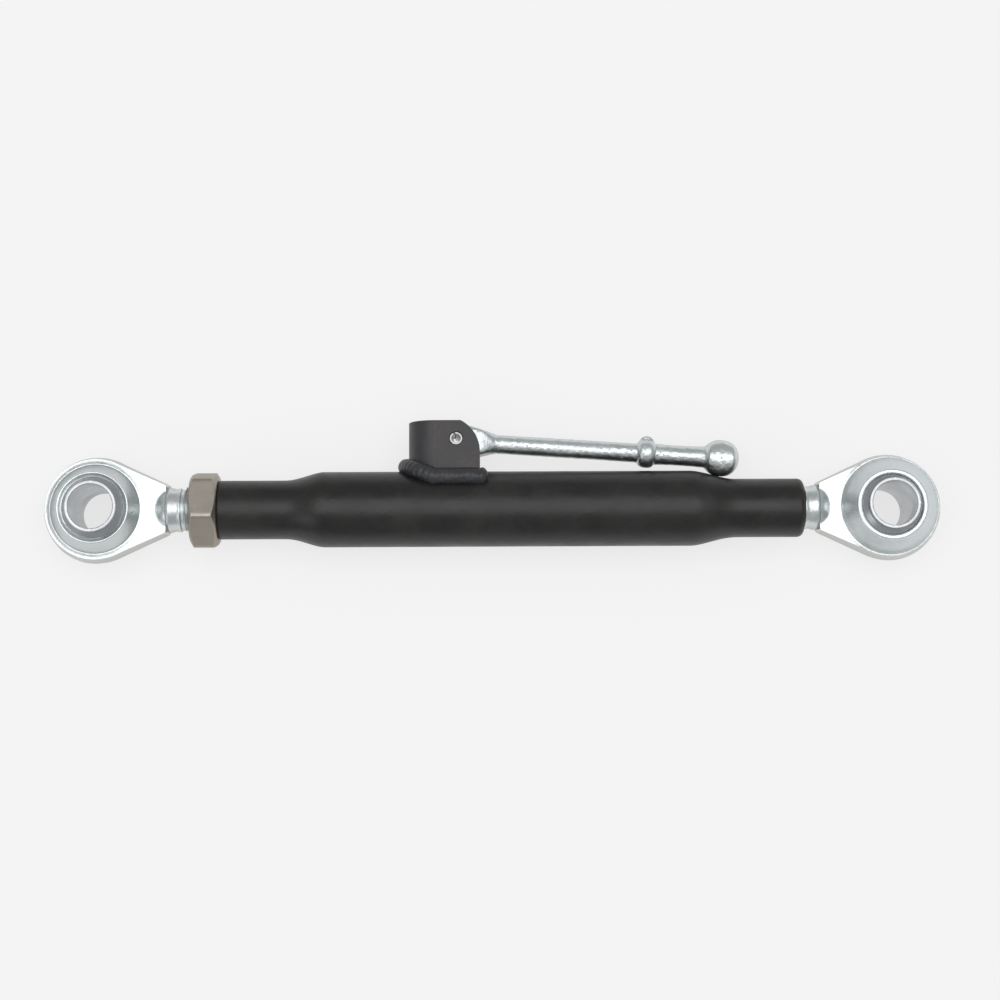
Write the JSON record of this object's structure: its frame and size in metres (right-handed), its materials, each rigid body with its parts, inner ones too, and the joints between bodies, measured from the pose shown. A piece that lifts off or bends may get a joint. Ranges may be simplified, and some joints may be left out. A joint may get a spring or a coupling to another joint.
{
  "type": "tractor top link",
  "caption": "Three-point hitch top link: a tubular turnbuckle barrel with left- and right-hand threaded ball ends, a lock nut and a folding turning handle.",
  "frame": {"origin": "centre of the left swivel ball, on the link's axis", "axes": "+X along the link to the right ball, +Y to the side that carries the bracket and folded handle, +Z along the ball bores; the link lies flat on the end faces of its two balls"},
  "size_m": [0.5231, 0.0814, 0.051],
  "materials": {
    "zinc_forging": "bright zinc-plated forging",
    "ball_steel": "turned and zinc-plated steel",
    "nut_zinc": "dull zinc-plated steel",
    "black_paint": "semi-gloss black paint",
    "bracket_paint": "semi-gloss black paint",
    "weld_paint": "black paint over a rough weld bead",
    "pin_steel": "plain spring steel",
    "handle_zinc": "rough zinc-plated forging"
  },
  "bodies": {
    "left_end": {"left_ball_end": "zinc_forging"},
    "left_swivel": {"left_ball": "ball_steel"},
    "nut": {"lock_nut": "nut_zinc"},
    "barrel": {"barrel_tube": "black_paint", "handle_bracket": "bracket_paint", "bracket_weld": "weld_paint", "handle_pin": "pin_steel"},
    "folding_handle": {"handle": "handle_zinc"},
    "right_end": {"right_ball_end": "zinc_forging"},
    "right_swivel": {"right_ball": "ball_steel"}
  },
  "joints": [
    {"name": "left_ball_swing", "type": "hinge", "parent": "left_end", "child": "left_swivel", "pos_m": [0, 0, 0], "axis": [0, 1, 0], "range_deg": [-8, 8]},
    {"name": "lock_nut_travel", "type": "slide", "parent": "left_end", "child": "nut", "axis": [1, 0, 0], "range_m": [0, 0.0961]},
    {"name": "barrel_turn", "type": "hinge", "parent": "nut", "child": "barrel", "pos_m": [0.2418, 0, 0], "axis": [-1, 0, 0], "range_deg": [0, 11520]},
    {"name": "handle_fold", "type": "hinge", "parent": "barrel", "child": "folding_handle", "pos_m": [0.2091, 0.0398, 0], "axis": [0, 0, 1], "range_deg": [0, 132]},
    {"name": "right_end_travel", "type": "slide", "parent": "left_end", "child": "right_end", "axis": [1, 0, 0], "range_m": [0, 0.1921]},
    {"name": "right_ball_swing", "type": "hinge", "parent": "right_end", "child": "right_swivel", "pos_m": [0.4611, 0, 0], "axis": [0, 1, 0], "range_deg": [-8, 8]}
  ],
  "couplings": [
    {"joint": "lock_nut_travel", "follows": "barrel_turn", "m_per_rad": 0.00047746},
    {"joint": "right_end_travel", "follows": "barrel_turn", "m_per_rad": 0.00095493}
  ]
}
